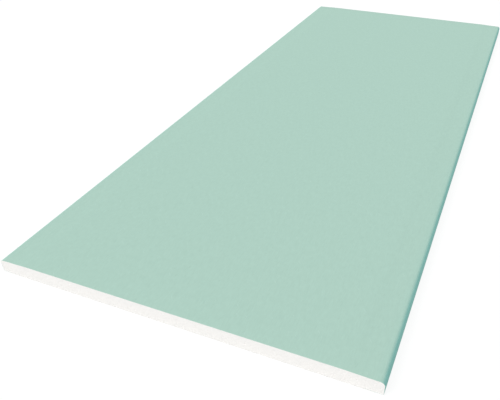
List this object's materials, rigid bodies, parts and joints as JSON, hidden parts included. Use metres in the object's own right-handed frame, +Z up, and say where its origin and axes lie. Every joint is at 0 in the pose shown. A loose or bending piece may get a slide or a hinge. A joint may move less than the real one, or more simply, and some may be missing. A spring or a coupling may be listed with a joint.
{
  "type": "drywall sheet",
  "caption": "Flat rectangular gypsum board for lining walls and ceilings: a white core, a green moisture-resistant face paper wrapped round the tapered long edges, and a plain back paper.",
  "frame": {"origin": "middle of the underside, on the level that the sheet lies on", "axes": "+X across the width, +Y along the length, +Z up through the thickness, out of the green face"},
  "size_m": [0.625, 1.5, 0.025],
  "materials": {
    "gypsum": "matte, sawn, faintly porous",
    "green_face_paper": "matte, fine fibred",
    "plain_back_paper": "matte, coarser fibred recycled paper"
  },
  "bodies": {
    "root": {"gypsum_core": "gypsum", "face_paper": "green_face_paper", "back_paper": "plain_back_paper"}
  },
  "joints": []
}
